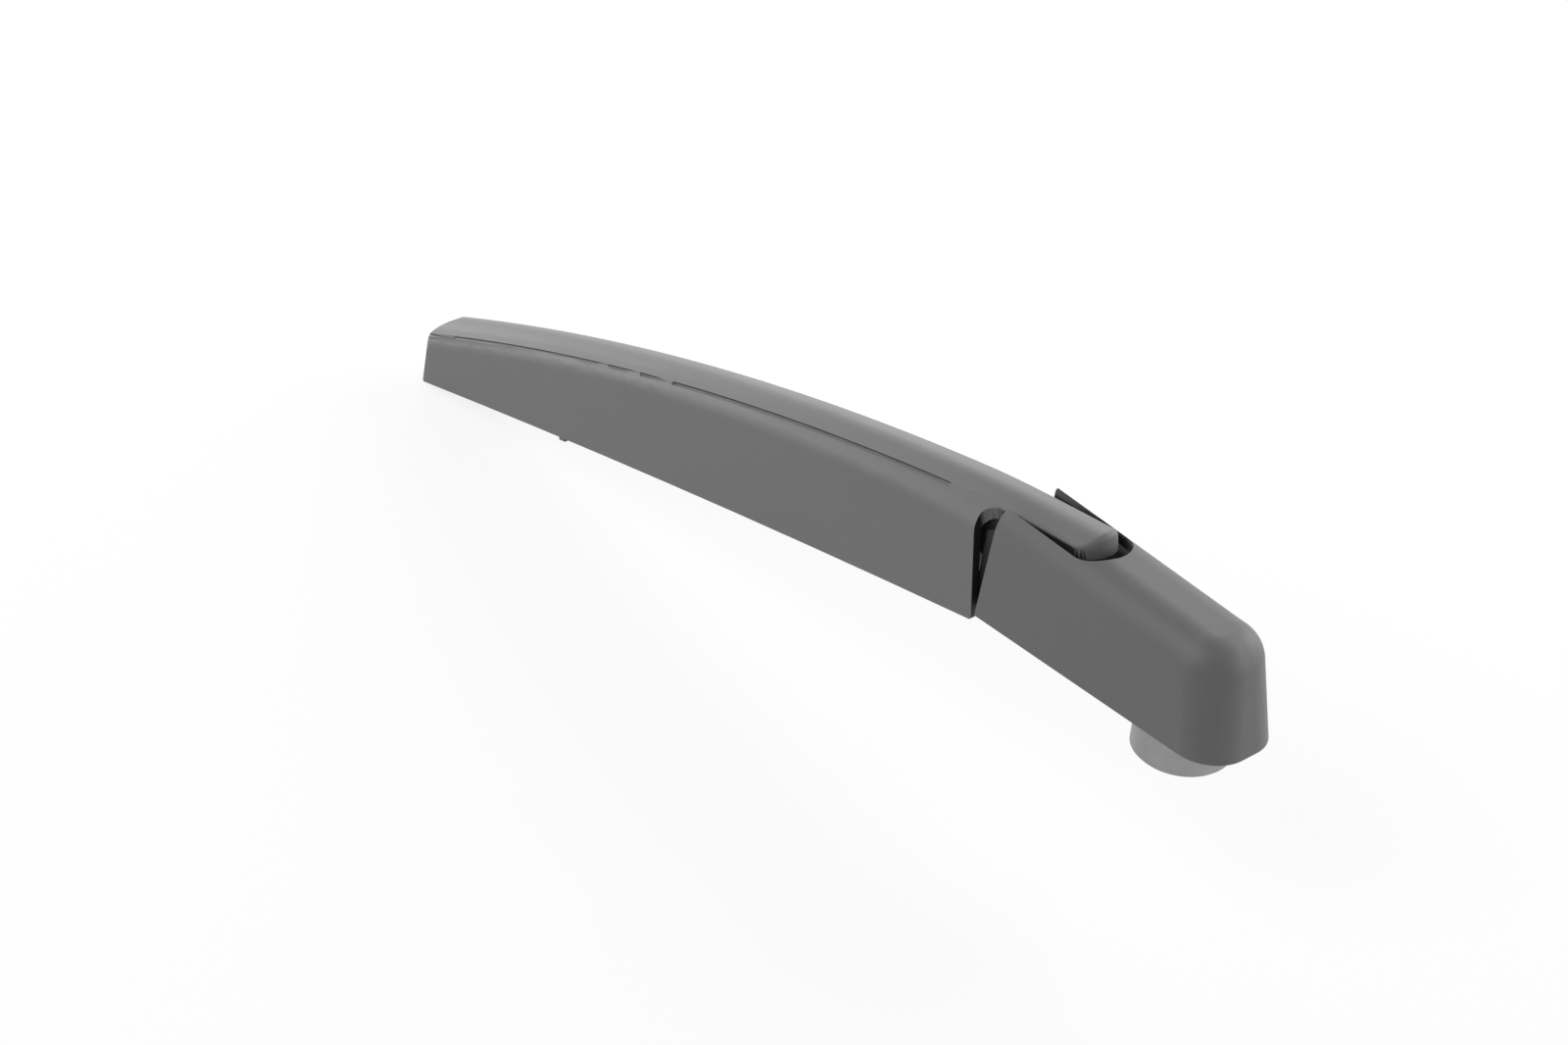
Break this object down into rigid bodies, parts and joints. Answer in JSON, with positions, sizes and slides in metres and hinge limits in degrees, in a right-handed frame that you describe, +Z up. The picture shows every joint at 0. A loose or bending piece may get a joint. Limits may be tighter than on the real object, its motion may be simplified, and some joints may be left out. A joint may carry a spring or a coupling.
{
  "type": "wiper arm",
  "caption": "Rear window wiper arm without its blade: arched plastic channel with a crowned ridge, sprung hinge, splined spindle hub and a smooth hinged cover cap",
  "frame": {"origin": "centre of the hub boss's lower face, on the wiper spindle's axis", "axes": "+Z up the spindle away from the glass, the arm runs towards -X, Y across the arm, which is symmetric about Y = 0"},
  "size_m": [0.2832, 0.0248, 0.078],
  "materials": {
    "arm_plastic": "fine-grained moulding, faded from black to mid grey",
    "cap_plastic": "fine-grained moulding, faded from black to mid grey",
    "cast_zinc": "die-cast zinc, dull light grey",
    "bush_plastic": "smooth natural acetal",
    "pin_steel": "bright zinc-plated steel",
    "spring_steel": "dark oiled spring steel"
  },
  "bodies": {
    "hub": {"hub_bracket": "cast_zinc", "hinge_bush_left": "bush_plastic", "hinge_bush_right": "bush_plastic", "spring_anchor_pin": "pin_steel"},
    "arm": {"arm_shell": "arm_plastic", "hinge_pin": "pin_steel", "arm_spring_pin": "pin_steel", "blade_pin": "pin_steel"},
    "spring": {"tension_spring": "spring_steel"},
    "link": {"spring_link": "spring_steel"},
    "cap": {"cover_cap": "cap_plastic"}
  },
  "joints": [
    {"name": "arm_lift", "type": "hinge", "parent": "hub", "child": "arm", "pos_m": [-0.048, 0, 0.029], "axis": [0, 1, 0], "range_deg": [0, 45]},
    {"name": "cap_open", "type": "hinge", "parent": "hub", "child": "cap", "pos_m": [-0.048, 0, 0.029], "axis": [0, -1, 0], "range_deg": [0, 50]},
    {"name": "spring_swing", "type": "hinge", "parent": "arm", "child": "spring", "pos_m": [-0.13954, 0, 0.0029], "axis": [0, -1, 0], "range_deg": [0, 5]},
    {"name": "spring_stretch", "type": "slide", "parent": "spring", "child": "link", "axis": [0.9923, 0, 0.1238], "range_m": [0, 0.0095], "deforming": ["tension_spring"]}
  ],
  "couplings": [
    {"joint": "spring_swing", "follows": "arm_lift", "ratio": 0.108},
    {"joint": "spring_stretch", "follows": "arm_lift", "m_per_rad": 0.01171}
  ]
}
